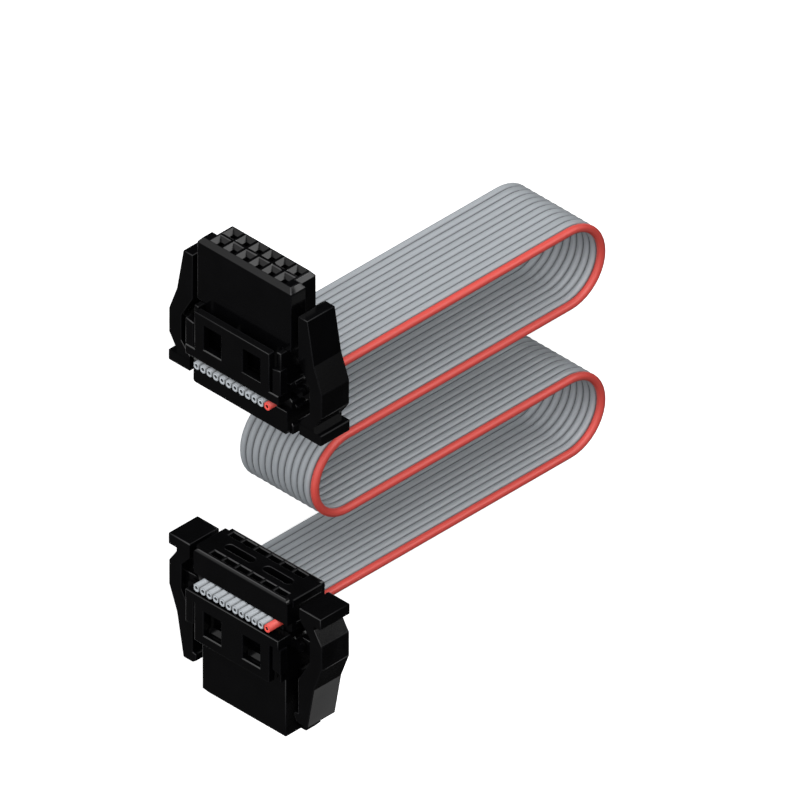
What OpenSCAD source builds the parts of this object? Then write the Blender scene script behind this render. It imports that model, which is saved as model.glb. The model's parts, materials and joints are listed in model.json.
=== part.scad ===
// Folded flat ribbon cable with a latched female connector crimped on each end.
// Each connector is drawn upright: X along its row of contacts, Y across it, Z from its
// mating plane towards the cable. The finished cable lies on one side, so the row of
// contacts then points up and the mating faces look along +Y and -Y.

/* [Ribbon] */
// Spacing of the wires in the ribbon
wire_pitch = 0.635; // [0.62:0.005:0.66]
// Diameter of each ridge of insulation
ridge_d = 0.62; // [0.56:0.01:0.62]
// Thickness of the web between two ridges
web_t = 0.26; // [0.2:0.02:0.36]
// Diameter of the bare stranded wire
conductor_d = 0.3; // [0.26:0.01:0.32]
// Radius of each fold, to the middle of the ribbon
fold_r = 3.175; // [2.9:0.025:3.4]
// Distance from the connectors to the centre of the far folds
far_reach = 27.2; // [22:0.2:34]
// Distance from the connectors to the centre of the near fold
near_reach = 5.2; // [4.8:0.1:7]

/* [Contact block] */
// Height of the wires above the mating plane
cable_z = 9.86; // [9.7:0.02:10.2]
// Thickness of the block at the mating face
block_depth = 3; // [2.9:0.05:3.1]
// Solid end beyond the last contact on the narrow side
block_end = 0.975; // [0.9:0.025:1.05]
// Extra length of the wide side that keys the plug
key_step = 0.5; // [0.35:0.05:0.5]
// Width of the chamfer round the mating face
face_chamfer = 0.3; // [0.2:0.05:0.35]
// Depth of the chamfer round the mating face
face_lead = 0.38; // [0.3:0.02:0.44]
// Width of each funnel at the mating face
funnel_w = 1.06; // [0.9:0.02:1.08]
// Depth of each funnel
funnel_depth = 0.35; // [0.25:0.05:0.5]
// Side of the square hole that takes a header pin
pin_hole = 0.46; // [0.46:0.02:0.54]

/* [Frame] */
// Thickness of the frame across the connector
frame_depth = 5.46; // [5.4:0.02:5.7]
// Thickness of the window walls
wall_t = 0.6; // [0.5:0.05:0.65]
// Height of the frame's lower edge above the mating plane
wall_z = 5.3; // [5:0.1:5.6]
// Thickness of the flange under the cable
flange_t = 0.79; // [0.7:0.03:0.85]
// Width of each window
window_w = 1.72; // [1.6:0.04:1.8]
// Height of each window
window_h = 2.05; // [1.9:0.05:2.1]
// Depth of the four corner ears
ear_depth = 0.83; // [0.75:0.04:0.85]
// How far the flange reaches beyond the narrow side of the contact block
flange_end = 0.45; // [0.41:0.02:0.51]

/* [Cover] */
// Height of the cover from its rim down to the clamping plates
plate_h = 2.1; // [1.9:0.05:2.3]
// Thickness of the body of the cover
cover_depth = 2.84; // [2.8:0.04:2.96]
// How far each plate stands proud of the body
plate_t = 0.46; // [0.4:0.02:0.5]
// How far the cover's rim reaches beyond the flange
rim_end = 0.21; // [0.17:0.02:0.25]
// Radius of the plates' outer corners
plate_r = 0.43; // [0.3:0.05:0.5]
// Length of each slot over a pair of tines
tine_slot_len = 1.05; // [0.9:0.05:1.1]
// Width of each slot over a pair of tines
tine_slot_w = 0.5; // [0.42:0.02:0.52]
// Width of the two long recesses
recess_w = 0.65; // [0.5:0.05:0.75]

/* [Levers] */
// Width of each lever
lever_w = 2.75; // [2.6:0.05:2.9]
// Width of the thumb tab
tab_w = 2.9; // [2.8:0.05:3.1]
// Thickness of the thumb tab
tab_t = 0.88; // [0.75:0.05:1]
// Gap between the flange and the inside of a lever
lever_gap = 0.62; // [0.6:0.02:0.7]
// Depth of a lever from its inside to its outside
lever_depth = 2.35; // [2.29:0.02:2.47]
// Reach of the hook beyond the inside of the lever
hook_reach = 0.35; // [0.29:0.02:0.39]
// Width of the hook, which stays beside the narrow half of the contact block
hook_w = 1.5; // [1.3:0.05:1.6]
// Radius of the pivot bar
pivot_r = 0.28; // [0.25:0.01:0.3]
// Running clearance round the pivot bar
pivot_clear = 0.04; // [0.03:0.01:0.06]

/* [Contacts] */
// Thickness of the contact's sheet metal
sheet_t = 0.2; // [0.16:0.02:0.22]
// Width of the fork that cuts into the ribbon
fork_w = 0.62; // [0.56:0.01:0.62]
// Height of the tines above the wires
tine_rise = 0.95; // [0.8:0.05:1.1]

/* [Hidden] */
$fn = 48;
ways = 12;
columns = ways / 2;
ENDS = ["lower", "upper"];

eps = 0.01;
fit = 0.02;                         // clearance between moulded parts that seat together
contact_pitch = 2 * wire_pitch;
ribbon_w = (ways - 1) * wire_pitch + ridge_d;
row_end = (columns - 1) / 2 * contact_pitch;

// Contacts
row_y = contact_pitch / 2;
fork_offset = 0.515;
fork_y = row_y + fork_offset;
fork_slot = conductor_d + fit;
fork_shoulder = 0.6;
fork_base = cable_z - fork_shoulder;
slot_depth = 0.35;
fork_root = cable_z - slot_depth;
tine_top = cable_z + tine_rise;
tine_lead = 0.25;
tine_mouth = 0.12;
tine_flare = 0.04;
leaf_w = 0.6;
leaf_root = 0.36;
leaf_waist = 0.27;
leaf_tip_z = 1;
leaf_waist_z = 1.7;
leaf_root_z = 3;
stem_w = 0.5;
stem_lap = 0.15;
web_z = 4.2;

// Contact block
narrow_half = row_end + block_end;
wide_half = narrow_half + key_step;
core_wall = 0.06;
core_half = ribbon_w / 2 + core_wall;
groove_d = ridge_d + 2 * fit;
comb_tooth = 0.2;
chamber_room = 0.2;
chamber_top = web_z + sheet_t + chamber_room;
pin_guide = 0.4;
chamber_floor = funnel_depth + pin_guide;
leaf_room = 0.14;
chamber_in = leaf_root + leaf_room;
nose_lip = 0.15;
nose_ramp = 0.3;

// Frame
bed_t = 0.26;
frame_top = cable_z - ridge_d / 2 - bed_t;
flange_z = frame_top - flange_t;
frame_half = narrow_half + flange_end;
frame_y = frame_depth / 2;
wall_in = frame_y - wall_t;
wall_inset = 0.9;
wall_half = frame_half - wall_inset;
ear_inset = 0.7;
ear_in = frame_half - ear_inset;
ear_proud = 0.1;
ear_out = frame_half + ear_proud;
ear_rise = 1.05;
ear_z = wall_z + ear_rise;
ear_slant = 0.15;
ear_set = 0.12;
end_wall_t = 0.42;
end_in = core_half + fit;
end_out = end_in + end_wall_t;
window_x = 1.93;
sill_h = 0.8;
window_z = wall_z + sill_h;
shoulder_z = wall_z - fit;
pivot_drop = 0.04;
pivot_z = flange_z - pivot_drop;
nose_in = 0.45;
nose_side = 0.15;
nose_w = window_w - 2 * nose_side;

// Cover
plate_z = cable_z + ridge_d / 2 + fit;
cover_top = plate_z + plate_h;
cover_half = frame_half + rim_end;
waist_inset = 0.31;
waist_half = cover_half - waist_inset;
plate_inset = 0.17;
plate_half = cover_half - plate_inset;
cover_y = cover_depth / 2;
plate_y = cover_y + plate_t;
plate_fillet = 0.25;
rim_h = 0.87;
edge_chamfer = 0.18;
foot_z = frame_top + 3 * fit;
foot_inset = 0.13;
foot_half = cover_half - foot_inset;
foot_h = 0.9;
heel_rise = 0.53;
heel_z = foot_z + heel_rise;
heel_inset = 0.35;
heel_y = cover_y - heel_inset;
leg_t = 0.16;
toe_t = 0.34;
toe_h = 0.66;
toe_z = pivot_z - toe_h / 2;
toe_catch = 0.2;
toe_ramp = 0.15;
tine_slot_out = 0.1;
recess_in = 0.5;
recess_out = 3.25;
recess_depth = 1.3;

// Levers
lever_in = frame_half + lever_gap;
lever_out = lever_in + lever_depth;
cheek_t = 0.375;
cheek_wall = 0.08;
cheek_r = pivot_r + cheek_wall;
cheek_arm = 0.2;
cheek_gap = lever_w / 2 - cheek_t;
leg_w = 2 * (cheek_gap - fit);
eye_wall = 0.3;
eye_r = pivot_r + pivot_clear + eye_wall;
eye_gap = 1.5 * pivot_r;
eye_w = leg_w - 4 * fit;
eye_clear = 0.05;
pivot_x = end_out + fit + toe_t + eye_clear + eye_r;
tab_drop = 1.22;
tab_z = cover_top - tab_drop;
tab_gap = 0.62;
tab_in = cover_half + tab_gap;
tab_out = lever_out - fit;
tip_z = 1.95;
tip_inset = 1.42;
tip_out = lever_out - tip_inset;
hook_h = 0.85;
hook_z = tip_z + hook_h;
hook_in = lever_in - hook_reach;
hook_lead = 0.27;
hook_draft = 0.06;
shin_rise = 0.2;
shin_z = wall_z + shin_rise;
shin_inset = 0.78;
shin_out = lever_out - shin_inset;
back_rise = 2.27;
back_low = wall_z + back_rise;
back_drop = 0.26;
back_high = cable_z - back_drop;
inside_rise = 0.41;
inside_low = wall_z + inside_rise;
hollow_rise = 0.07;
hollow_low = back_low + hollow_rise;
hollow_drop = 0.1;
hollow_high = cable_z - hollow_drop;
spine_t = 1.23;
hollow_in = lever_out - spine_t;
neck_step = 0.07;
neck_in = tab_in + neck_step;
neck_inset = 0.77;
neck_out = lever_out - neck_inset;
neck_drop = 0.37;
neck_z = tab_z - neck_drop;

// Folded ribbon: four legs, one fold diameter apart
leg_pitch = 2 * fold_r;
LEG_Z = [for (i = [0:3]) -cable_z - i * leg_pitch];
lower_mating_z = LEG_Z[3] - cable_z;
tail = frame_y;

// The cable lies on one side: it tilts until the lower levers and the far folds both
// touch the ground.
fold_x = far_reach + fold_r;
fold_drop = (ways - 1) / 2 * wire_pitch;
span = fold_x - lever_w / 2;
rise = lever_out - fold_drop;
rest_tilt = atan2(rise, span) - asin(ridge_d / 2 / norm([span, rise]));
rest_height = lever_w / 2 * sin(rest_tilt) + lever_out * cos(rest_tilt);

function wire_x(i) = (i - (ways + 1) / 2) * wire_pitch;

// Contacts are numbered along the front row and then along the back row. The front row
// grips the even wires and the back row the odd ones.
function contact_side(i) = i <= columns ? -1 : 1;
function contact_x(i) = ((i - 1) % columns - (columns - 1) / 2) * contact_pitch;
function fork_x(i) = contact_x(i) - contact_side(i) * wire_pitch / 2;
function wire_side(i) = i % 2 == 0 ? -1 : 1;

// ---- Helpers ------------------------------------------------------------------------

// Turns the standing cable on its side and sets it down on the ground.
module at_rest() {
    translate([0, 0, rest_height])
        rotate([0, rest_tilt, 0])
            rotate([-90, -90, 0])
                translate([0, 0, -lower_mating_z / 2])
                    children();
}

// A connector is drawn with its mating face down; the upper one is turned over.
module on_end(e) {
    if (e == "upper")
        rotate([180, 0, 0]) children();
    else
        translate([0, 0, lower_mating_z]) children();
}

// Box between two corners.
module span_box(low, high) {
    translate(low) cube(high - low);
}

// Extrudes an outline drawn in X and Z along Y, from y1 to y2.
module along_y(y1, y2) {
    translate([0, y2, 0]) rotate([90, 0, 0]) linear_extrude(y2 - y1) children();
}

// Extrudes an outline drawn in Y and Z along X, centred.
module along_x(length) {
    translate([-length / 2, 0, 0])
        rotate([90, 0, 90]) linear_extrude(length) children();
}

module both_sides(v) {
    children();
    mirror(v) children();
}

// ---- Ribbon -------------------------------------------------------------------------

// Carries a section, drawn with x across the ribbon and y through it, along the whole
// folded run from one cut end to the other.
module along_ribbon() {
    for (z = [LEG_Z[0], LEG_Z[3]])
        leg(-tail, z) children();
    for (z = [LEG_Z[1], LEG_Z[2]])
        leg(near_reach, z) children();
    fold(far_reach, LEG_Z[0], 0) children();
    fold(near_reach, LEG_Z[1], 180) children();
    fold(far_reach, LEG_Z[2], 0) children();
}

module leg(y, z) {
    translate([0, y, z])
        rotate([90, 0, 180]) mirror([1, 0, 0])
            linear_extrude(far_reach - y) children();
}

// Half turn of the section down from a leg at height z, about an axis along X.
module fold(y, z, turn) {
    translate([0, y, z - fold_r])
        rotate([0, 90, 0]) rotate([0, 0, turn])
            rotate_extrude(angle = 180)
                translate([fold_r, 0]) rotate(90) children();
}

// Wires first to last: round ridges on a web that ends halfway to the next wire.
module ridges(first, last, left, right) {
    difference() {
        union() {
            for (i = [first:last])
                translate([wire_x(i), 0]) circle(d = ridge_d);
            translate([wire_x(first) - left, -web_t / 2])
                square([wire_x(last) - wire_x(first) + left + right, web_t]);
        }
        for (i = [first:last]) strand(i);
    }
}

module strand(i) {
    translate([wire_x(i), 0]) circle(d = conductor_d);
}

// Slots that the tines of both connectors have cut beside the wires first to last.
module tine_cuts(first, last) {
    tine_w = (fork_w - fork_slot) / 2;
    for (i = [first:last], e = [1, -1], t = [-1, 1])
        translate([
            wire_x(i) + t * (fork_slot + tine_w) / 2,
            e * wire_side(i) * fork_y,
            e > 0 ? LEG_Z[3] : LEG_Z[0]
        ])
            cube([tine_w, sheet_t, 2 * ridge_d], center = true);
}

module ribbon_insulation() {
    color("#a9b0b3")
        difference() {
            along_ribbon() ridges(1, ways - 1, 0, wire_pitch / 2);
            tine_cuts(1, ways - 1);
        }
}

module edge_insulation() {
    color("#e4503f")
        difference() {
            along_ribbon() ridges(ways, ways, wire_pitch / 2, 0);
            tine_cuts(ways, ways);
        }
}

module conductor(i) {
    color("#c9a27a") along_ribbon() strand(i);
}

// ---- Contact block ------------------------------------------------------------------

// Block from y1 to y2, chamfered all round at the mating face.
module face_block(half, y1, y2) {
    c = face_chamfer;
    l = face_lead;
    intersection() {
        along_y(y1, y2)
            polygon([
                [-half + c, 0], [half - c, 0], [half, l],
                [half, shoulder_z], [-half, shoulder_z], [-half, l]
            ]);
        along_x(3 * half)
            polygon([
                [y1 + c, 0], [y2 - c, 0], [y2, l],
                [y2, shoulder_z], [y1, shoulder_z], [y1, l]
            ]);
    }
}

// The narrow body, with a wide rib along its far half that keys the plug.
module mating_body() {
    d = block_depth / 2;
    face_block(narrow_half, -d, d);
    face_block(wide_half, 0, d);
}

// Nose that snaps into a window of the frame: flat below, with a ramp on its upper edge.
module snap_nose() {
    z = window_z + fit;
    y = frame_y - nose_in;
    top = z + nose_lip + nose_ramp;
    translate([window_x, 0, 0])
        along_x(nose_w)
            polygon([
                [0, z], [y, z], [y, z + nose_lip], [y - nose_ramp, top], [0, top]
            ]);
}

module funnel() {
    a = funnel_w / 2;
    b = pin_hole / 2;
    sides = [[-a, -eps], [a, -eps], [b, funnel_depth], [-b, funnel_depth]];
    intersection() {
        along_y(-a, a) polygon(sides);
        along_x(funnel_w) polygon(sides);
    }
}

// Chamber of contact i: funnel, pin hole, spring chamber and the slot for its stem.
module chamber(i) {
    s = contact_side(i);
    left = min(contact_x(i) - stem_w / 2, fork_x(i) - fork_w / 2) - fit;
    right = max(contact_x(i) + stem_w / 2, fork_x(i) + fork_w / 2) + fit;
    translate([contact_x(i), s * row_y, 0]) {
        funnel();
        translate([-pin_hole / 2, -pin_hole / 2, funnel_depth - eps])
            cube([pin_hole, pin_hole, pin_guide + 2 * eps]);
        mirror([0, s < 0 ? 1 : 0, 0])
            span_box([-leaf_w / 2 - 2 * fit, -chamber_in, chamber_floor],
                     [leaf_w / 2 + 2 * fit, fork_y - row_y + sheet_t / 2 + fit, chamber_top]);
    }
    translate([left, s * fork_y - sheet_t / 2 - fit, chamber_top - eps])
        cube([right - left, sheet_t + 2 * fit, cable_z]);
}

module contact_block() {
    comb_z = cable_z - comb_tooth;
    d = block_depth / 2;
    color("#1b1c1e")
        difference() {
            union() {
                mating_body();
                span_box([-core_half, -d, shoulder_z - eps], [core_half, d, comb_z]);
                both_sides([0, 1, 0]) both_sides([1, 0, 0]) snap_nose();
            }
            for (i = [1:ways]) {
                chamber(i);
                translate([wire_x(i), 0, cable_z])
                    rotate([90, 0, 0]) cylinder(d = groove_d, h = 2 * frame_y, center = true);
            }
        }
}

// ---- Frame --------------------------------------------------------------------------

module window_wall() {
    difference() {
        span_box([-wall_half, wall_in, wall_z], [wall_half, frame_y, flange_z + eps]);
        both_sides([1, 0, 0])
            translate([window_x - window_w / 2, 0, window_z])
                cube([window_w, frame_depth, window_h]);
    }
}

// Ear under one corner of the flange: slanted below, set back from the front of the
// flange and chamfered where it stands out beside it.
module ear() {
    c = ear_out - frame_half;
    along_y(frame_y - ear_depth, frame_y - ear_set)
        polygon([
            [ear_in, ear_z + ear_slant], [ear_out, ear_z], [ear_out, flange_z - c / 2],
            [frame_half, flange_z + c / 2], [ear_in, flange_z + c / 2]
        ]);
}

// Profile of a pad that stands out from an end wall, with its two outer edges chamfered.
module pad_outline(x1, x2) {
    c = edge_chamfer;
    h = toe_h / 2;
    translate([0, pivot_z])
        polygon([[x1, -h], [x2 - c, -h], [x2, c - h], [x2, h - c], [x2 - c, h], [x1, h]]);
}

// Pivot bar on two cheeks that stand out from the end wall.
module pivot() {
    along_y(-lever_w / 2, lever_w / 2)
        translate([pivot_x, pivot_z]) circle(r = pivot_r);
    both_sides([0, 1, 0]) {
        along_y(cheek_gap, lever_w / 2) {
            translate([pivot_x, pivot_z]) circle(r = cheek_r);
            translate([end_out, pivot_z - cheek_arm])
                square([pivot_x - end_out, 2 * cheek_arm]);
        }
        along_y(cheek_gap, cover_y) pad_outline(end_out - eps, end_out + fit + toe_t);
    }
}

module frame() {
    color("#1b1c1e")
        difference() {
            union() {
                span_box([-frame_half, -frame_y, flange_z], [frame_half, frame_y, frame_top]);
                both_sides([0, 1, 0]) {
                    window_wall();
                    both_sides([1, 0, 0]) ear();
                }
                both_sides([1, 0, 0])
                    span_box([end_in, -wall_in, wall_z], [end_out, wall_in, flange_z + eps]);
            }
            span_box([-end_in, -block_depth / 2 - fit, 0],
                     [end_in, block_depth / 2 + fit, cable_z]);
            both_sides([1, 0, 0]) {
                span_box([end_out, -cover_y, flange_z - eps], [cable_z, cover_y, cable_z]);
                span_box([end_out - toe_catch - fit, -leg_w / 2 - fit, toe_z - fit],
                         [end_out + eps, leg_w / 2 + fit, toe_z + toe_h + fit]);
            }
        }
    color("#1b1c1e") both_sides([1, 0, 0]) pivot();
}

// ---- Cover --------------------------------------------------------------------------

// Clamping plate: two round corners, and a fillet along its outer top edge.
module plate() {
    r = plate_r;
    f = plate_fillet;
    intersection() {
        along_y(0, plate_y)
            union() {
                translate([-plate_half, plate_z]) square([2 * plate_half, plate_h - r]);
                translate([-plate_half + r, plate_z]) square([2 * (plate_half - r), plate_h]);
                for (x = [-1, 1])
                    translate([x * (plate_half - r), cover_top - r]) circle(r = r);
            }
        along_x(3 * plate_half)
            union() {
                translate([0, plate_z]) square([plate_y, plate_h - f]);
                translate([0, plate_z]) square([plate_y - f, plate_h]);
                translate([plate_y - f, cover_top - f]) circle(r = f);
            }
    }
}

// Leg that snaps over the end wall of the frame, with its toe in the recess there.
module cover_leg() {
    x = end_out + fit;
    c = edge_chamfer;
    along_y(-leg_w / 2, leg_w / 2) {
        pad_outline(x, x + toe_t);
        polygon([
            [x, foot_z + c], [x, toe_z + toe_h], [x - toe_catch, toe_z + toe_h],
            [x - toe_catch, toe_z + toe_ramp], [x, toe_z], [x + leg_t / 2, toe_z],
            [x + leg_t, toe_z + toe_h], [x + leg_t, foot_z + c]
        ]);
    }
}

// Block at each end of the cover, chamfered along its lower outer edge.
module end_block(x, half_y, z1, z2) {
    c = edge_chamfer;
    along_y(-half_y, half_y)
        polygon([[core_half, z1], [x - c, z1], [x, z1 + c], [x, z2], [core_half, z2]]);
}

module long_recess() {
    w = recess_w;
    translate([0, 0, cover_top - recess_depth])
        linear_extrude(recess_depth + eps) {
            translate([recess_in + w / 2, -w / 2]) square([recess_out - recess_in - w, w]);
            for (x = [recess_in + w / 2, recess_out - w / 2])
                translate([x, 0]) circle(d = w);
        }
}

module cover() {
    tooth_z = cable_z + comb_tooth;
    color("#1b1c1e")
        difference() {
            union() {
                span_box([-waist_half, -cover_y, tooth_z], [waist_half, cover_y, cover_top]);
                both_sides([1, 0, 0]) {
                    end_block(cover_half, cover_y, cover_top - rim_h, cover_top);
                    end_block(foot_half, cover_y, foot_z, foot_z + foot_h);
                    end_block(cover_half, heel_y, heel_z, foot_z + foot_h);
                    cover_leg();
                }
                both_sides([0, 1, 0]) plate();
            }
            for (i = [1:ways]) {
                translate([fork_x(i) - tine_slot_len / 2,
                           contact_side(i) * (fork_y + tine_slot_out) - tine_slot_w / 2, cable_z])
                    cube([tine_slot_len, tine_slot_w, cover_top]);
                translate([wire_x(i), 0, cable_z])
                    rotate([90, 0, 0]) cylinder(d = groove_d, h = 2 * frame_y, center = true);
            }
            both_sides([1, 0, 0]) long_recess();
        }
}

// ---- Levers -------------------------------------------------------------------------

module lever_outline() {
    polygon([
        [tip_out, tip_z], [shin_out, shin_z], [lever_out, back_low], [lever_out, back_high],
        [neck_out, neck_z], [neck_out, tab_z + eps], [neck_in, tab_z + eps],
        [neck_in, neck_z], [hollow_in, hollow_high], [hollow_in, hollow_low],
        [lever_in, inside_low], [lever_in, tip_z]
    ]);
}

// Hook that catches the header: a lead-in below and a nearly flat catch above.
module hook() {
    along_y(-lever_w / 2, hook_w - lever_w / 2)
        polygon([
            [lever_in + eps, tip_z], [lever_in + eps, hook_z], [lever_in, hook_z],
            [hook_in, hook_z - hook_draft], [hook_in, tip_z + hook_lead], [lever_in, tip_z]
        ]);
}

// Eye that snaps over the pivot bar, on an arm from the back of the lever.
module eye() {
    along_y(-eye_w / 2, eye_w / 2)
        difference() {
            union() {
                translate([pivot_x, pivot_z]) circle(r = eye_r);
                translate([pivot_x, pivot_z - eye_r]) square([hollow_in - pivot_x + eps, 2 * eye_r]);
            }
            translate([pivot_x, pivot_z]) circle(r = pivot_r + pivot_clear);
            translate([pivot_x - 2 * eye_r, pivot_z - eye_gap / 2]) square([2 * eye_r, eye_gap]);
        }
}

module lever() {
    color("#1b1c1e") {
        along_y(-lever_w / 2, lever_w / 2) lever_outline();
        hook();
        eye();
        span_box([tab_in, -tab_w / 2, tab_z], [tab_out, tab_w / 2, tab_z + tab_t]);
    }
}

// ---- Contacts -----------------------------------------------------------------------

// A leaf that narrows towards the pin; s is 1 on the outer side and -1 on the inner.
module leaf(s, root) {
    middle = [
        [s * leaf_root, leaf_tip_z], [s * leaf_waist, leaf_waist_z],
        [s * leaf_root, leaf_root_z], [root, web_z + eps]
    ];
    along_x(leaf_w)
        polygon(concat(
            [for (p = middle) p - [sheet_t / 2, 0]],
            [for (k = [len(middle) - 1:-1:0]) middle[k] + [sheet_t / 2, 0]]
        ));
}

// Fork with one slot for the conductor, drawn about the wire it grips.
module fork_outline() {
    w = fork_w / 2;
    a = fork_slot / 2;
    polygon([
        [-w, fork_base], [w, fork_base], [w, tine_top - tine_lead],
        [a + tine_flare, tine_top], [a, tine_top - tine_mouth], [a, fork_root],
        [-a, fork_root], [-a, tine_top - tine_mouth], [-a - tine_flare, tine_top],
        [-w, tine_top - tine_lead]
    ]);
}

module contact(i) {
    s = contact_side(i);
    out = fork_y - row_y;
    color("#d9b65a") {
        translate([contact_x(i), s * row_y, 0])
            mirror([0, s < 0 ? 1 : 0, 0]) {
                leaf(1, out);
                leaf(-1, -leaf_root);
                span_box([-leaf_w / 2, -leaf_root - sheet_t / 2, web_z],
                         [leaf_w / 2, out + sheet_t / 2, web_z + sheet_t]);
                span_box([-stem_w / 2, out - sheet_t / 2, web_z],
                         [stem_w / 2, out + sheet_t / 2, fork_base + stem_lap]);
            }
        translate([fork_x(i), 0, 0])
            along_y(s * fork_y - sheet_t / 2, s * fork_y + sheet_t / 2) fork_outline();
    }
}

// ---- Pieces -------------------------------------------------------------------------

at_rest() ribbon_insulation();
at_rest() edge_insulation();
for (i = [1:ways])
    at_rest() conductor(i);
for (e = ENDS) {
    at_rest() on_end(e) contact_block();
    at_rest() on_end(e) frame();
    at_rest() on_end(e) cover();
    at_rest() on_end(e) mirror([1, 0, 0]) lever();
    at_rest() on_end(e) lever();
    for (i = [1:ways])
        at_rest() on_end(e) contact(i);
}
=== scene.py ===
import json
from math import asin, cos, pi, radians, sin

import bmesh
import bpy
import numpy as np
from bpy.props import FloatProperty, FloatVectorProperty, IntProperty, PointerProperty
from mathutils import Matrix, Vector


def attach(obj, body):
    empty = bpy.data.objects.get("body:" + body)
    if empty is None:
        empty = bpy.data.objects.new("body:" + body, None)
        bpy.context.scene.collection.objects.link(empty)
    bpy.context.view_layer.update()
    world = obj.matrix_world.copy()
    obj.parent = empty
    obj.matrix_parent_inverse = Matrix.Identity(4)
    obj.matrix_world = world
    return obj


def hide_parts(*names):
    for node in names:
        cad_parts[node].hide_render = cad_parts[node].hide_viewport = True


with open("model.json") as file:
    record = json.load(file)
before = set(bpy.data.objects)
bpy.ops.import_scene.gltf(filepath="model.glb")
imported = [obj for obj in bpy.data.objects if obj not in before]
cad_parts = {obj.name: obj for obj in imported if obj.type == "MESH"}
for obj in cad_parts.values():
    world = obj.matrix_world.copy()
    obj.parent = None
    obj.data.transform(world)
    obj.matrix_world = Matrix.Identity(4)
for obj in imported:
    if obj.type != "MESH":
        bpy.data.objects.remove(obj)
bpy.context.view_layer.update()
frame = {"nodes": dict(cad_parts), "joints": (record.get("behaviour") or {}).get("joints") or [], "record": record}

bl_info = {
    "name": "Ribbon Cable",
    "version": (1, 0, 0),
    "blender": (4, 5, 0),
    "location": "3D View > Sidebar > Ribbon Cable",
    "description": "Dresses a folded ribbon cable and its two latched connectors",
    "category": "Object",
}

WAYS = 12
ENDS = ("lower", "upper")
MOULDINGS = ("contact_block", "frame", "cover")
LEVERS = ("left_lever", "right_lever")
CABLE = "cable"

# Ribbon and strands.
STATION_GAP = 0.002     # longest step of the ribbon's mesh along a straight leg
PATH_GAP = 0.004        # longest step of the points down the ribbon's middle
ON_MIDDLE = 1e-9        # a point of the outline no higher than this is on the middle line
FURROW_SHADE = 0.45           # share of a ridge's height, from the web up, that its painted furrow shade covers
TONE_SPREAD = 0.618     # keeps the tones of neighbouring wires apart
CUT_PAINTED_PALE = -1.6         # "web" value of a cut end, which paints it paler than a ridge, as painted light
BORE_SHADE_START = 0.00003      # depth at which a bore's painted shade begins
OUTER_STRANDS = 6       # round the middle one
STRAND_GAP = 1.02       # spacing of the strands, in strand diameters
START_SPREAD = 17       # wires whose strands would start evenly round one turn
TIP_R = 0.75            # radius of a strand's worn tip, in strand radii
TIP_REACH = 0.12        # how far that tip stands out, in strand radii
CORE_SIDES = 8

# Moulded parts.
WELD = 1.5e-5                   # points this close together are one
FLAT_ANGLE = radians(1)         # faces that turn less than this make one flat face
MOULD_ANGLE = radians(9)        # an edge that turns more than this is rounded
BLOCK_ANGLE = radians(50)       # the same on a contact block, whose chamfers stay crisp
RUN_ANGLE = radians(20)         # edges that turn less than this run on smoothly
SMOOTH_ANGLE = radians(24)      # shading is smooth over edges that turn less than this
ROOM = 1.6                      # free space that a rounded edge needs, in edge radii
SAMPLES = np.linspace(0.05, 0.95, 7)[:, None]   # where along an edge its room is measured

# Stage.
TABLE_SIDE = 3
CAMERA_AWAY = 0.4
LAMP_AWAY = 0.3


# ---- Frame of the object --------------------------------------------------------------

def mount(name):
    """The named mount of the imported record."""
    return next(m for m in frame["record"]["mounts"] if m["name"] == name)


def standing():
    """Turns the standing cable, with its origin at the upper mating face, to its rest pose."""
    hinge = next(j for j in frame["joints"] if j["name"] == "lower_left_lever_pivot")
    across = Vector(hinge["axis"])
    up = Vector(mount("upper_mating_face")["axis"])
    turn = Matrix((across.cross(up), across, up)).transposed().to_4x4()
    return Matrix.Translation(mount("upper_mating_face")["pos_m"]) @ turn


STANDING = standing()
HEIGHT = (Vector(mount("upper_mating_face")["pos_m"])
          - Vector(mount("lower_mating_face")["pos_m"])).length


# ---- Sizes and colours ----------------------------------------------------------------

def linear(code):
    """Linear colour of an sRGB hex code, opaque."""
    parts = [int(code[i:i + 2], 16) / 255 for i in (0, 2, 4)]
    return (*(c / 12.92 if c <= 0.04045 else ((c + 0.055) / 1.055) ** 2.4 for c in parts), 1)


def colour(name, description, code):
    """A colour property."""
    return FloatVectorProperty(name=name, description=description, subtype="COLOR", size=4,
                               min=0, max=1, default=linear(code))


def length(name, description, millimetres):
    """A length property, given in millimetres."""
    return FloatProperty(name=name, description=description, unit="LENGTH", precision=5,
                         default=millimetres / 1000)


def factor(name, description, default):
    """A plain number that isn't negative."""
    return FloatProperty(name=name, description=description, min=0, default=default)


class RibbonSizes(bpy.types.PropertyGroup):
    """Sizes of the ribbon, its folds and its strands."""

    wire_pitch: length("Wire pitch", "Spacing of the wires", 0.635)
    ridge_d: length("Ridge diameter", "Diameter of each ridge of insulation", 0.62)
    web_t: length("Web", "Thickness of the web between two ridges", 0.26)
    bore_d: length("Bore", "Diameter of the bore that holds the strands", 0.3)
    fold_r: length("Fold radius", "Radius of each fold, to the middle of the ribbon", 3.175)
    far_reach: length("Far reach", "From the connectors to the centre of the far folds", 27.2)
    near_reach: length("Near reach", "From the connectors to the centre of the near fold", 5.2)
    tail: length("Tail", "From the middle of a connector to the cut ends", 2.73)
    strand_d: length("Strand", "Diameter of one strand of a wire", 0.094)
    strand_back: length("Strand recess", "How far the cutter leaves the strands behind", 0.35)
    lay_length: length("Lay", "Length of one turn of the twisted strands", 5.5)


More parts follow.
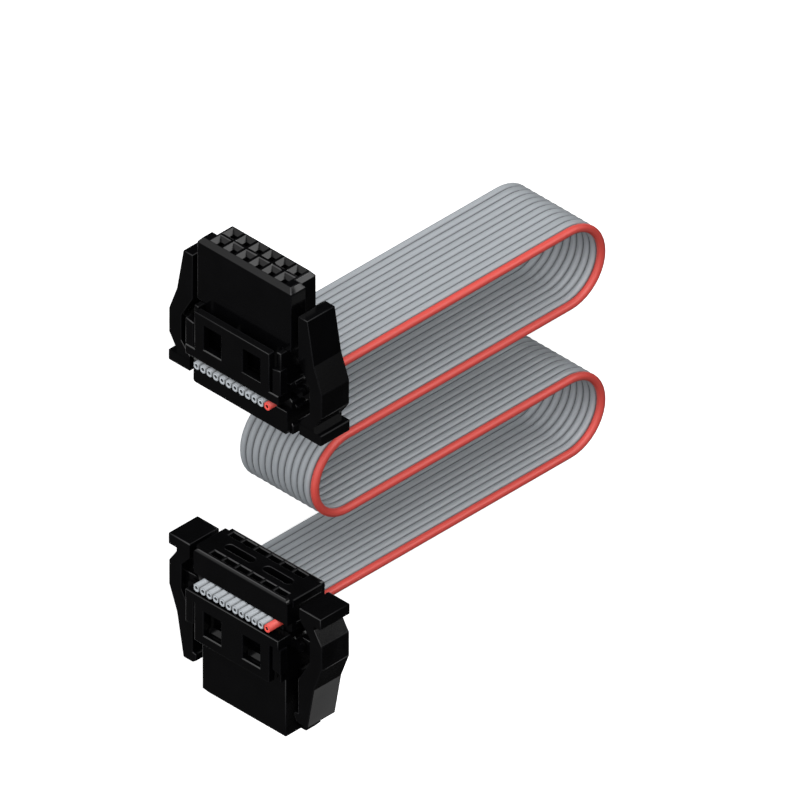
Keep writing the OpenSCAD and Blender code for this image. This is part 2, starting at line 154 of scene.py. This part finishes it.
class Finish(bpy.types.PropertyGroup):
    """Colours and edges of the finishes."""

    grey: colour("Grey PVC", "Insulation of eleven wires", "a3a8ad")
    red: colour("Red PVC", "Insulation of the edge wire", "de5149")
    black: colour("Black", "Moulded parts of the connectors", "050506")
    tin: colour("Tin", "Plating of the strands", "b9b6b0")
    gold: colour("Gold", "Plating of the contacts", "c9a45a")
    edge_r: length("Edge radius", "Rounding that the tool leaves on a moulded edge", 0.07)
    edge_steps: IntProperty(name="Edge steps", description="Faces across a rounded edge",
                            min=1, max=4, default=2)


class Studio(bpy.types.PropertyGroup):
    """Floor, light and view."""

    floor: colour("Floor", "Pale floor", "f4f4f4")
    glow: factor("Floor glow", "Light that comes up through the floor", 1.05)
    view_w: length("View width", "Width of the view", 56.02)
    view_y: length("View centre", "Height of the middle of the view along the ribbon", 13.95)
    low: factor("Dim surround", "Light of the surround away from its bright side", 0.02)
    high: factor("Bright surround", "Light of the surround in front of and above the cable",
                 1.4)
    key: factor("Key", "Power of the key light, in watts", 0.3)
    back: factor("Back", "Power of the light that catches the right-hand edges, in watts",
                 0.22)
    side: factor("Side", "Power of the light that catches the backs of the levers, in watts",
                 0.016)
    under: factor("Under", "Power of the light that catches the lever tips, in watts", 0.014)
    front: factor("Front", "Power of the light that the front faces mirror, in watts", 0.014)
    table: factor("Table", "Power of each light that shines up through the table, in watts",
                  0.05)


# ---- Material helpers -----------------------------------------------------------------

def feed(tree, node, inputs):
    """Sets a node's inputs, each to a value or from a (node, output) pair."""
    for key, value in inputs.items():
        if isinstance(value, tuple) and isinstance(value[0], bpy.types.Node):
            tree.links.new(value[0].outputs[value[1]], node.inputs[key])
        else:
            node.inputs[key].default_value = value


def add_node(tree, kind, inputs=None, **settings):
    """Adds a node with its settings and inputs."""
    node = tree.nodes.new(kind)
    for key, value in settings.items():
        setattr(node, key, value)
    feed(tree, node, inputs or {})
    return node


def new_material(name):
    """A node material that holds only its shader and output."""
    material = bpy.data.materials.new(name)
    material.use_nodes = True
    tree = material.node_tree
    tree.nodes.clear()
    shader = add_node(tree, "ShaderNodeBsdfPrincipled")
    add_node(tree, "ShaderNodeOutputMaterial", {"Surface": (shader, "BSDF")})
    return material, tree, shader


def per_mm(millimetres):
    """Noise scale whose features are about this size."""
    return 1000 / millimetres


def dress(piece, *materials):
    """Gives a piece its materials."""
    piece.data.materials.clear()
    for material in materials:
        piece.data.materials.append(material)


# ---- Materials ------------------------------------------------------------------------

def moulded_polyester(finish, name, polish_and_highlight):
    """Black glass-filled polyester, injection moulded in a spark-eroded tool.

    It looks nearly black and satin: the grain scatters the gloss, and the gloss is cloudy
    where the melt flowed. The copy for the rounded edges is glossier, and its colour is painted lighter as a
    painted highlight.
    """
    material, tree, shader = new_material(name)
    place = add_node(tree, "ShaderNodeTexCoord")
    # The grain is about 0.03 mm, too fine to show, so it is drawn at 0.11 mm.
    grain = add_node(tree, "ShaderNodeTexNoise", {
        "Vector": (place, "Object"), "Scale": per_mm(0.11), "Detail": 3, "Roughness": 0.6})
    cloud = add_node(tree, "ShaderNodeTexNoise", {
        "Vector": (place, "Object"), "Scale": per_mm(2.4), "Detail": 4, "Distortion": 0.6})
    # On the rounded edges the colour is painted 1.8 to 3.3 times lighter, a painted highlight; on the faces the
    # tone differs at random.
    tone = add_node(tree, "ShaderNodeMapRange", {
        "Value": (cloud, "Fac"), "From Min": 0.3, "From Max": 0.7,
        "To Min": 0.8 + polish_and_highlight, "To Max": 1.3 + 2 * polish_and_highlight})
    base = add_node(tree, "ShaderNodeHueSaturation",
                    {"Color": finish.black, "Value": (tone, "Result")})
    gloss = add_node(tree, "ShaderNodeMapRange", {
        "Value": (cloud, "Fac"), "From Min": 0.3, "From Max": 0.7,
        "To Min": 0.15, "To Max": 0.2})
    bump = add_node(tree, "ShaderNodeBump", {
        "Height": (grain, "Fac"), "Strength": 0.2, "Distance": 0.000008})
    feed(tree, shader, {
        "Base Color": (base, "Color"), "Roughness": (gloss, "Result"), "IOR": 1.57,
        "Specular IOR Level": 0.2 + 0.35 * polish_and_highlight, "Normal": (bump, "Normal")})
    return material


def extruded_pvc(name, base):
    """Soft PVC, extruded over the wires.

    It looks satin, with faint lines that the die draws along each ridge and a slightly
    different tone on each wire. Each furrow and each bore is painted with shade, and each cut end is painted
    paler, as painted light.
    """
    material, tree, shader = new_material(name)
    place = add_node(tree, "ShaderNodeTexCoord")
    along = add_node(tree, "ShaderNodeUVMap", uv_map="along")
    # Die lines are about 0.02 mm apart, too fine to show, so they are drawn at 0.09 mm.
    drawn = add_node(tree, "ShaderNodeMapping", {
        "Vector": (along, "UV"), "Scale": (per_mm(9), per_mm(0.09), 1)})
    lines = add_node(tree, "ShaderNodeTexNoise",
                     {"Vector": (drawn, "Vector"), "Scale": 1, "Detail": 2})
    cloud = add_node(tree, "ShaderNodeTexNoise", {
        "Vector": (place, "Object"), "Scale": per_mm(5), "Detail": 3})
    web = add_node(tree, "ShaderNodeAttribute", attribute_name="web")
    wire = add_node(tree, "ShaderNodeAttribute", attribute_name="wire")
    # Painted shade: a "web" value of 1 brings the colour down to 0.3, in the furrows and the bores; the negative
    # value at a cut end paints it paler, as painted light.
    depth = add_node(tree, "ShaderNodeMapRange",
                     {"Value": (web, "Fac"), "To Min": 1, "To Max": 0.3}, clamp=False)
    tint = add_node(tree, "ShaderNodeMapRange",
                    {"Value": (wire, "Fac"), "To Min": 0.96, "To Max": 1.03})
    streak = add_node(tree, "ShaderNodeMapRange", {
        "Value": (lines, "Fac"), "From Min": 0.3, "From Max": 0.7,
        "To Min": 0.95, "To Max": 1.05})
    tone = add_node(tree, "ShaderNodeMath",
                    {0: (depth, "Result"), 1: (tint, "Result")}, operation="MULTIPLY")
    tone = add_node(tree, "ShaderNodeMath",
                    {0: (tone, "Value"), 1: (streak, "Result")}, operation="MULTIPLY")
    skin = add_node(tree, "ShaderNodeHueSaturation", {"Color": base, "Value": (tone, "Value")})
    gloss = add_node(tree, "ShaderNodeMapRange", {
        "Value": (cloud, "Fac"), "From Min": 0.3, "From Max": 0.7,
        "To Min": 0.38, "To Max": 0.5})
    bump = add_node(tree, "ShaderNodeBump", {
        "Height": (lines, "Fac"), "Strength": 0.25, "Distance": 0.00001})
    feed(tree, shader, {
        "Base Color": (skin, "Color"), "Roughness": (gloss, "Result"), "IOR": 1.53,
        "Normal": (bump, "Normal")})
    return material


def sheared_tinned_copper(finish):
    """Tin-plated copper strand, drawn and then sheared: pale, dull metal with a rough end."""
    material, tree, shader = new_material("sheared_tinned_copper")
    place = add_node(tree, "ShaderNodeTexCoord")
    # Shear marks are about 0.01 mm, too fine to show, so they are drawn at 0.05 mm.
    marks = add_node(tree, "ShaderNodeTexNoise", {
        "Vector": (place, "Object"), "Scale": per_mm(0.05), "Detail": 2})
    tone = add_node(tree, "ShaderNodeMapRange", {
        "Value": (marks, "Fac"), "From Min": 0.3, "From Max": 0.7,
        "To Min": 0.7, "To Max": 1.1})
    base = add_node(tree, "ShaderNodeHueSaturation",
                    {"Color": finish.tin, "Value": (tone, "Result")})
    gloss = add_node(tree, "ShaderNodeMapRange",
                     {"Value": (marks, "Fac"), "To Min": 0.3, "To Max": 0.6})
    bump = add_node(tree, "ShaderNodeBump", {
        "Height": (marks, "Fac"), "Strength": 0.3, "Distance": 0.00001})
    feed(tree, shader, {
        "Base Color": (base, "Color"), "Metallic": 1, "Roughness": (gloss, "Result"),
        "Normal": (bump, "Normal")})
    return material


def stamped_gold_plate(finish):
    """Gold-flashed bronze strip, rolled and stamped: warm metal with rolling lines."""
    material, tree, shader = new_material("stamped_gold_plated_bronze")
    place = add_node(tree, "ShaderNodeTexCoord")
    # Rolling lines are about 0.01 mm apart, too fine to show, so they are drawn at 0.08 mm.
    rolled = add_node(tree, "ShaderNodeMapping", {
        "Vector": (place, "Object"), "Scale": (per_mm(0.08), per_mm(1.5), per_mm(0.08))})
    lines = add_node(tree, "ShaderNodeTexNoise",
                     {"Vector": (rolled, "Vector"), "Scale": 1, "Detail": 2})
    tone = add_node(tree, "ShaderNodeMapRange", {
        "Value": (lines, "Fac"), "From Min": 0.3, "From Max": 0.7,
        "To Min": 0.85, "To Max": 1.08})
    base = add_node(tree, "ShaderNodeHueSaturation",
                    {"Color": finish.gold, "Value": (tone, "Result")})
    gloss = add_node(tree, "ShaderNodeMapRange",
                     {"Value": (lines, "Fac"), "To Min": 0.2, "To Max": 0.38})
    bump = add_node(tree, "ShaderNodeBump", {
        "Height": (lines, "Fac"), "Strength": 0.2, "Distance": 0.000006})
    feed(tree, shader, {
        "Base Color": (base, "Color"), "Metallic": 1, "Roughness": (gloss, "Result"),
        "Normal": (bump, "Normal")})
    return material


# ---- Ribbon ---------------------------------------------------------------------------

def wire_x(number, sizes):
    """Place of a wire across the ribbon, in the standing frame."""
    return (number - (WAYS + 1) / 2) * sizes.wire_pitch


def route(sizes, turns=20):
    """Stations down the middle of the ribbon, in the standing frame.

    Each is (y, z, normal y, normal z).
    """
    r = sizes.fold_r
    drop = 6 * r    # three folds, each two radii high
    top = -(HEIGHT - drop) / 2
    stations = [(-sizes.tail, top, 0, 1)]
    for centre_y, level, facing in ((sizes.far_reach, 0, 1), (sizes.near_reach, 1, -1),
                                    (sizes.far_reach, 2, 1)):
        centre_z = top - (2 * level + 1) * r
        for step in range(turns + 1):
            angle = pi / 2 - facing * pi * step / turns
            stations.append((centre_y + r * cos(angle), centre_z + r * sin(angle),
                             facing * cos(angle), facing * sin(angle)))
    stations.append((-sizes.tail, top - drop, 0, -1))
    return stations


def split(stations, longest):
    """Adds stations along the straight legs, no further apart than longest."""
    result = stations[:1]
    for a, b in zip(stations, stations[1:]):
        gap = ((a[0] - b[0]) ** 2 + (a[1] - b[1]) ** 2) ** 0.5
        count = max(1, round(gap / longest))
        result += [tuple(p + (q - p) * k / count for p, q in zip(a, b))
                   for k in range(1, count + 1)]
    return result


def outline(first, last, left, right, sizes, steps=12):
    """Closed outline of the ridges first to last and their web: (across, through) points."""
    r = sizes.ridge_d / 2
    foot = asin(sizes.web_t / 2 / r)
    top = [(wire_x(first, sizes) - left, sizes.web_t / 2)] if left else []
    for number in range(first, last + 1):
        start = pi - foot if number > first or left else pi
        end = foot if number < last or right else 0
        top += [(wire_x(number, sizes) + r * cos(start + (end - start) * k / steps),
                 r * sin(start + (end - start) * k / steps)) for k in range(steps + 1)]
    if right:
        top.append((wire_x(last, sizes) + right, sizes.web_t / 2))
    bottom = [(x, -h) for x, h in reversed(top) if h > ON_MIDDLE]
    return top + bottom


def ribbon_mesh(name, first, last, left, right, sizes):
    """Sweeps the outline of some of the wires along the route, with a bore at each cut end."""
    stations = split(route(sizes), STATION_GAP)
    section = outline(first, last, left, right, sizes)
    around = [0]
    for a, b in zip(section, section[1:] + section[:1]):
        around.append(around[-1] + ((a[0] - b[0]) ** 2 + (a[1] - b[1]) ** 2) ** 0.5)
    bm = bmesh.new()
    uv = bm.loops.layers.uv.new("along")
    web = bm.verts.layers.float.new("web")
    wire = bm.verts.layers.float.new("wire")
    furrowed = first < last
    rings, run = [], [0]
    for a, b in zip(stations, stations[1:]):
        run.append(run[-1] + ((a[0] - b[0]) ** 2 + (a[1] - b[1]) ** 2) ** 0.5)
    for y, z, ny, nz in stations:
        rings.append([bm.verts.new((x, y + ny * h, z + nz * h)) for x, h in section])
        for vertex, (x, h) in zip(rings[-1], section):
            rise = (abs(h) - sizes.web_t / 2) / (sizes.ridge_d / 2 - sizes.web_t / 2)
            number = round(x / sizes.wire_pitch + (WAYS + 1) / 2)
            # Low on each ridge, towards the web, the colour is painted with shade; on the red edge wire only on
            # the side towards the grey.
            takes_painted_shade = furrowed or x < wire_x(WAYS, sizes)
            vertex[web] = max(0, 1 - rise / FURROW_SHADE) if takes_painted_shade else 0
            vertex[wire] = number * TONE_SPREAD % 1
    count = len(section)
    for i in range(len(rings) - 1):
        for k in range(count):
            n = (k + 1) % count
            face = bm.faces.new((rings[i][k], rings[i][n], rings[i + 1][n], rings[i + 1][k]))
            face.smooth = True
            places = ((run[i], around[k]), (run[i], around[k + 1]),
                      (run[i + 1], around[k + 1]), (run[i + 1], around[k]))
            for loop, place in zip(face.loops, places):
                loop[uv].uv = place
    for rim, station in ((rings[0], stations[0]), (rings[-1], stations[-1])):
        cut_end(bm, rim, station, first, last, sizes)
    bmesh.ops.recalc_face_normals(bm, faces=bm.faces)
    mesh = bpy.data.meshes.new(name)
    bm.to_mesh(mesh)
    bm.free()
    mesh.transform(STANDING)
    piece = bpy.data.objects.new(name, mesh)
    bpy.context.scene.collection.objects.link(piece)
    return piece


def cut_end(bm, rim, station, first, last, sizes, steps=16, depth=0.0006):
    """Closes a cut end of the insulation, painted paler as painted light, and bores a hole there for each
    conductor, whose wall is painted with shade.

    Both ends face the same way, so the bores of both run towards +y.
    """
    y, z, ny, nz = station
    edges = [bm.edges.get((a, b)) for a, b in zip(rim, rim[1:] + rim[:1])]
    bores = []
    for number in range(first, last + 1):
        circle = []
        for k in range(steps):
            angle = 2 * pi * k / steps
            h = sizes.bore_d / 2 * sin(angle)
            circle.append(bm.verts.new((wire_x(number, sizes) + sizes.bore_d / 2 * cos(angle),
                                        y + ny * h, z + nz * h)))
        edges += [bm.edges.new((a, b)) for a, b in zip(circle, circle[1:] + circle[:1])]
        bores.append(circle)
    bmesh.ops.triangle_fill(bm, edges=edges, use_beauty=True)
    web = bm.verts.layers.float["web"]
    # Round each bore the cut face is painted paler, as painted light.
    for circle in bores:
        for vertex in circle:
            vertex[web] = CUT_PAINTED_PALE
        # Past the lip the bore's wall and floor are painted with shade.
        for back in (BORE_SHADE_START, depth):
            deep = [bm.verts.new((v.co.x, y + back, v.co.z)) for v in circle]
            for k in range(steps):
                n = (k + 1) % steps
                bm.faces.new((circle[k], circle[n], deep[n], deep[k])).smooth = True
                deep[k][web] = 1
            circle = deep
        bm.faces.new(deep)


def cable_route(sizes):
    """Middle of the ribbon at rest, as points."""
    return [STANDING @ Vector((0, y, z)) for y, z, _, _ in split(route(sizes), PATH_GAP)]


class CABLE_OT_ribbon(bpy.types.Operator):
    """Sweeps the grey ribbon and its red edge wire along the folds"""

    bl_idname = "cable.ribbon"
    bl_label = "Ribbon"

    def execute(self, context):
        sizes, finish = context.scene.cable_ribbon, context.scene.cable_finish
        half = sizes.wire_pitch / 2
        grey = ribbon_mesh("grey_ribbon", 1, WAYS - 1, 0, half, sizes)
        red = ribbon_mesh("red_edge", WAYS, WAYS, half, 0, sizes)
        dress(grey, extruded_pvc("extruded_pvc_grey", finish.grey))
        dress(red, extruded_pvc("extruded_pvc_red", finish.red))
        for piece, node, slot in ((grey, "ribbon_insulation", "grey_insulation"),
                                  (red, "edge_insulation", "red_insulation")):
            # The mouldings beside it would mirror its pale grey and lose their black.
            piece.visible_glossy = False
            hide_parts(node)
            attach(piece, CABLE)
        return {"FINISHED"}


# ---- Strands --------------------------------------------------------------------------

def tube(bm, rings):
    """Skins rings of points and caps both ends."""
    rows = [[bm.verts.new(point) for point in ring] for ring in rings]
    for a, b in zip(rows, rows[1:]):
        for k in range(len(a)):
            n = (k + 1) % len(a)
            bm.faces.new((a[k], a[n], b[n], b[k])).smooth = True
    for row in (rows[0], rows[-1]):
        bm.faces.new(row)


def ring(x, station, radius, steps):
    """A ring round a point of the route; station is (y, z, normal y, normal z)."""
    y, z, ny, nz = station
    turns = [2 * pi * k / steps for k in range(steps)]
    return [(x + radius * cos(t), y + radius * sin(t) * ny, z + radius * sin(t) * nz)
            for t in turns]


def strand_rings(number, strand, station, shown, sizes, rows=5, sides=10):
    """Rings down one strand of a wire from its worn tip; strand 0 is the middle one."""
    y, z, _, nz = station
    r = sizes.strand_d / 2
    out = sizes.strand_d * STRAND_GAP if strand else 0
    rings = []
    for row in range(rows):
        back = sizes.strand_back + (shown - sizes.strand_back) * row / (rows - 1)
        turn = 2 * pi * (strand / OUTER_STRANDS + back / sizes.lay_length
                         + number / START_SPREAD)
        across = wire_x(number, sizes) + out * cos(turn)
        level = z + nz * out * sin(turn)
        if row == 0:
            tip = (y + back - TIP_REACH * r, level, 0, nz)
            rings.append(ring(across, tip, TIP_R * r, sides))
        rings.append(ring(across, (y + back, level, 0, nz), r, sides))
    return rings


def strand_mesh(number, sizes, core=0.00013, shown=0.0008):
    """One wire: seven twisted strands at each cut end, and a plain core between them."""
    bm = bmesh.new()
    path = route(sizes)
    hidden = [(-sizes.tail + shown, *path[0][1:])] + path[1:-1]
    hidden.append((-sizes.tail + shown, *path[-1][1:]))
    tube(bm, [ring(wire_x(number, sizes), station, core, CORE_SIDES) for station in hidden])
    for station in (path[0], path[-1]):
        for strand in range(OUTER_STRANDS + 1):
            tube(bm, strand_rings(number, strand, station, shown, sizes))
    bmesh.ops.recalc_face_normals(bm, faces=bm.faces)
    mesh = bpy.data.meshes.new(f"strands_{number}")
    bm.to_mesh(mesh)
    bm.free()
    mesh.transform(STANDING)
    piece = bpy.data.objects.new(mesh.name, mesh)
    bpy.context.scene.collection.objects.link(piece)
    return piece


class CABLE_OT_strands(bpy.types.Operator):
    bl_idname = "cable.strands"
    bl_label = "Strands"

    def execute(self, context):
        sizes = context.scene.cable_ribbon
        tin = sheared_tinned_copper(context.scene.cable_finish)
        for number in range(1, WAYS + 1):
            piece = strand_mesh(number, sizes)
            dress(piece, tin)
            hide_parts(f"conductor_{number}")
            # Kept out of the mirrored light of the mouldings, as the ribbon is.
            piece.visible_glossy = False
            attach(piece, CABLE)
        path = cable_route(sizes)
        return {"FINISHED"}


# ---- Moulded parts --------------------------------------------------------------------

def on_only(piece):
    """Makes a piece the only selected one, and the active one."""
    bpy.ops.object.select_all(action="DESELECT")
    bpy.context.view_layer.objects.active = piece
    piece.select_set(True)


def smooth_runs(bm, sharp, room):
    """Numbers the smooth runs that the edges make, and lists those that bend too tightly."""
    number = {edge: k for k, edge in enumerate(sharp)}
    runs = np.arange(len(sharp))
    tight = set()
    for vertex in bm.verts:
        pair = [edge for edge in vertex.link_edges if edge in number]
        if len(pair) == 2:
            arms = [edge.other_vert(vertex).co - vertex.co for edge in pair]
            turn = pi - arms[0].angle(arms[1])
            if turn < RUN_ANGLE:
                first, second = (number[edge] for edge in pair)
                runs[runs == runs[second]] = runs[first]
                if (arms[0].length + arms[1].length) / 2 < room * turn:
                    tight.add(first)
    return runs, {runs[k] for k in tight}


def mark_edges(mesh, angle, room):
    """Marks for rounding the outward edges that have room for it; a mould's core is sharp.

    Short edges that run smoothly into each other, as round a slot, are marked as one.
    """
    bm = bmesh.new()
    bm.from_mesh(mesh)
    weight = bm.edges.layers.float.new("bevel_weight_edge")
    sharp = [e for e in bm.edges if len(e.link_faces) == 2 and e.calc_face_angle() > angle]
    first = np.array([e.verts[0].co for e in sharp])
    along = np.array([e.verts[1].co for e in sharp]) - first
    ends = np.array([[v.index for v in e.verts] for e in sharp])
    square = (along ** 2).sum(1)
    runs, tight = smooth_runs(bm, sharp, room)
    cramped = set(tight)
    for edge, start, run, pair, long, own in zip(sharp, first, along, ends, square, runs):
        points = start + run * SAMPLES
        away = points[:, None] - first[None]
        part = np.clip((away * along).sum(2) / square, 0, 1)
        gap = np.linalg.norm(away - part[..., None] * along, axis=2).min(0)
        apart = ~((ends == pair[0]) | (ends == pair[1])).any(1)
        edge[weight] = float(edge.is_convex and long > room ** 2 and (gap[apart] > room).all())
        if not (edge.is_convex and (gap[apart & (runs != own)] > room).all()):
            cramped.add(own)
    for edge, own in zip(sharp, runs):
        if own not in cramped and square[runs == own].max() > room ** 2:
            edge[weight] = 1
    bm.to_mesh(mesh)
    bm.free()


def keep_folds(mesh, angle, room):
    """Marks as hard the inward edges between wide faces."""
    bm = bmesh.new()
    bm.from_mesh(mesh)
    for edge in bm.edges:
        if edge.is_manifold and not edge.is_convex and edge.calc_face_angle() > angle:
            smallest = min(face.calc_area() for face in edge.link_faces)
            edge.smooth = smallest < room * edge.calc_length()
    bm.to_mesh(mesh)
    bm.free()


def soften(name, node, finish, angle):
    """Copies a CAD solid, joins its triangles and rounds its edges as a mould does."""
    piece = bpy.data.objects.new(name, node.data.copy())
    bpy.context.scene.collection.objects.link(piece)
    dress(piece, bpy.data.materials["moulded_polyester"], bpy.data.materials["moulded_edge_highlight"])
    on_only(piece)
    bpy.ops.mesh.customdata_custom_splitnormals_clear()
    bpy.ops.object.mode_set(mode="EDIT")
    bpy.ops.mesh.select_all(action="SELECT")
    bpy.ops.mesh.remove_doubles(threshold=WELD)
    bpy.ops.mesh.dissolve_limited(angle_limit=FLAT_ANGLE)
    bpy.ops.object.mode_set(mode="OBJECT")
    room = ROOM * finish.edge_r
    mark_edges(piece.data, angle, room)
    bevel = piece.modifiers.new("moulded edges", "BEVEL")
    bevel.width = finish.edge_r
    bevel.segments = finish.edge_steps
    bevel.limit_method = "WEIGHT"
    bevel.use_clamp_overlap = False
    # The rounded edges take the copy whose colour is painted lighter, a painted highlight.
    bevel.material = 1
    bpy.ops.object.modifier_apply(modifier=bevel.name)
    keep_folds(piece.data, MOULD_ANGLE, room)
    bpy.ops.object.shade_smooth_by_angle(angle=SMOOTH_ANGLE)
    weight = piece.modifiers.new("flat faces", "WEIGHTED_NORMAL")
    weight.keep_sharp = True
    bpy.ops.object.modifier_apply(modifier=weight.name)
    return piece


def finish_moulding(name, body, finish):
    """Rounds one moulded part and gives it its plastic; the block's chamfers stay crisp."""
    angle = BLOCK_ANGLE if name.endswith("contact_block") else MOULD_ANGLE
    piece = soften(f"moulded_{name}", frame["nodes"][name], finish, angle)
    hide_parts(name)
    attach(piece, body)


class CABLE_OT_mouldings(bpy.types.Operator):
    """Rounds the edges of the contact blocks, frames and covers and gives them their black"""

    bl_idname = "cable.mouldings"
    bl_label = "Contact blocks, frames and covers"

    def execute(self, context):
        finish = context.scene.cable_finish
        moulded_polyester(finish, "moulded_polyester", 0)
        # A glossier copy for the rounded edges, its colour painted lighter as a painted highlight.
        moulded_polyester(finish, "moulded_edge_highlight", 1)
        for end in ENDS:
            for part in MOULDINGS:
                finish_moulding(f"{end}_{part}", CABLE, finish)
        return {"FINISHED"}


class CABLE_OT_levers(bpy.types.Operator):
    """Rounds the edges of the four levers and gives them their black"""

    bl_idname = "cable.levers"
    bl_label = "Levers"

    def execute(self, context):
        for end in ENDS:
            for part in LEVERS:
                name = f"{end}_{part}"
                finish_moulding(name, name, context.scene.cable_finish)
        return {"FINISHED"}


class CABLE_OT_contacts(bpy.types.Operator):
    """Plates the contacts"""

    bl_idname = "cable.contacts"
    bl_label = "Contacts"

    def execute(self, context):
        gold = stamped_gold_plate(context.scene.cable_finish)
        for end in ENDS:
            for number in range(1, WAYS + 1):
                dress(frame["nodes"][f"{end}_contact_{number}"], gold)
        return {"FINISHED"}


# ---- Stage ----------------------------------------------------------------------------

def add_floor(studio):
    """A plain pale table that glows a little, so that no hard shadow falls on it."""
    bpy.ops.object.select_all(action="DESELECT")
    bpy.ops.mesh.primitive_plane_add(size=TABLE_SIDE)
    floor = bpy.context.object
    floor.name = "floor"
    # The table itself is seen, but sends no light or mirror image up and stops no light.
    floor.visible_diffuse = floor.visible_glossy = floor.visible_shadow = False
    material, tree, shader = new_material("matte_table")
    feed(tree, shader, {
        "Base Color": studio.floor, "Roughness": 0.9,
        "Emission Color": studio.floor, "Emission Strength": studio.glow})
    dress(floor, material)


def add_camera(studio, target, away, right):
    """A parallel view along one diagonal of the standing cable."""
    data = bpy.data.cameras.new("view")
    camera = bpy.data.objects.new("view", data)
    bpy.context.scene.collection.objects.link(camera)
    data.type = "ORTHO"
    data.ortho_scale = studio.view_w
    data.clip_start = 0.001
    data.clip_end = 5
    turn = Matrix((right, away.cross(right), away)).transposed().to_4x4()
    camera.matrix_world = Matrix.Translation(target + away * CAMERA_AWAY) @ turn
    bpy.context.scene.camera = camera


def add_surround(studio, way):
    """A soft surround that is bright on one side and dim elsewhere."""
    world = bpy.data.worlds.new("studio")
    bpy.context.scene.world = world
    world.use_nodes = True
    tree = world.node_tree
    place = add_node(tree, "ShaderNodeTexCoord")
    facing = add_node(tree, "ShaderNodeVectorMath", {0: (place, "Generated"), 1: tuple(way)},
                      operation="DOT_PRODUCT")
    level = add_node(tree, "ShaderNodeMapRange", {
        "Value": (facing, "Value"), "From Min": 0.1, "From Max": 0.75,
        "To Min": studio.low, "To Max": studio.high}, interpolation_type="SMOOTHSTEP")
    feed(tree, tree.nodes["Background"],
         {"Color": (1, 1, 1, 1), "Strength": (level, "Result")})


def add_lamp(name, power, side, target, way, distance):
    """A square lamp that shines on the target from one way."""
    lamp = bpy.data.lights.new(name, "AREA")
    lamp.energy = power
    lamp.size = side
    piece = bpy.data.objects.new(name, lamp)
    bpy.context.scene.collection.objects.link(piece)
    piece.location = target + way * distance
    piece.rotation_euler = way.to_track_quat("Z", "Y").to_euler()
    return piece


class CABLE_OT_stage(bpy.types.Operator):
    """Sets up the floor, the lights and the camera"""

    bl_idname = "cable.stage"
    bl_label = "Stage"

    def execute(self, context):
        studio = context.scene.cable_studio
        turn = STANDING.to_3x3()
        side, along, up = (turn @ Vector(v) for v in ((1, 0, 0), (0, 1, 0), (0, 0, 1)))
        target = STANDING @ Vector((0, studio.view_y, -HEIGHT / 2))
        add_floor(studio)
        add_camera(studio, target, (side - along + up).normalized(),
                   (side + along).normalized())
        add_surround(studio, (side * 0.1 - along * 0.62 + up * 0.78).normalized())
        # Name, power, side in metres and the way to the lamp.
        for name, power, across, way in (
                ("key", studio.key, 0.2, side * 0.55 - along * 0.3 + up * 1.1),
                ("back", studio.back, 0.12, side * 0.6 + along * 0.58 + up * 0.56),
                ("side", studio.side, 0.12, side * 0.8 + along * 0.57 + up * 0.2),
                ("under", studio.under, 0.08, side * 0.34 + along * 0.58 - up * 0.74),
                ("table front", studio.front, 0.3, -side - along - up),
                ("table left", studio.table, 0.16, -side * 0.81 - up * 0.58),
                ("table back", studio.table, 0.16, -side * 0.58 + along * 0.81)):
            lamp = add_lamp(name, power, across, target, way.normalized(), LAMP_AWAY)
            # Only the key lights the cable. The others are cards for its edges to mirror.
            lamp.visible_diffuse = name == "key"
        context.scene.view_settings.view_transform = "Standard"
        return {"FINISHED"}


# ---- Panel ----------------------------------------------------------------------------

OPERATORS = (CABLE_OT_stage, CABLE_OT_ribbon, CABLE_OT_strands, CABLE_OT_mouldings,
             CABLE_OT_levers, CABLE_OT_contacts)


class CABLE_PT_panel(bpy.types.Panel):
    """Lists the sizes, colours and makers of the ribbon cable"""

    bl_idname = "CABLE_PT_panel"
    bl_label = "Ribbon Cable"
    bl_space_type = "VIEW_3D"
    bl_region_type = "UI"
    bl_category = "Ribbon Cable"

    def draw(self, context):
        for group in (context.scene.cable_ribbon, context.scene.cable_finish,
                      context.scene.cable_studio):
            box = self.layout.box()
            for name in group.bl_rna.properties.keys():
                if name not in ("rna_type", "name"):
                    box.prop(group, name)
        for operator in OPERATORS:
            self.layout.operator(operator.bl_idname)


GROUPS = {"cable_ribbon": RibbonSizes, "cable_finish": Finish, "cable_studio": Studio}


def register():
    """Registers the classes and hangs their sizes and colours on the scene."""
    for item in (*GROUPS.values(), *OPERATORS, CABLE_PT_panel):
        bpy.utils.register_class(item)
    for name, group in GROUPS.items():
        setattr(bpy.types.Scene, name, PointerProperty(type=group))


def unregister():
    """Takes the classes away again."""
    for name in GROUPS:
        delattr(bpy.types.Scene, name)
    for item in (CABLE_PT_panel, *reversed(OPERATORS), *GROUPS.values()):
        bpy.utils.unregister_class(item)


def main():
    """Makes every piece in order."""
    register()
    bpy.ops.cable.stage()
    bpy.ops.cable.ribbon()
    bpy.ops.cable.strands()
    bpy.ops.cable.mouldings()
    bpy.ops.cable.levers()
    bpy.ops.cable.contacts()


if __name__ == "__main__":
    main()
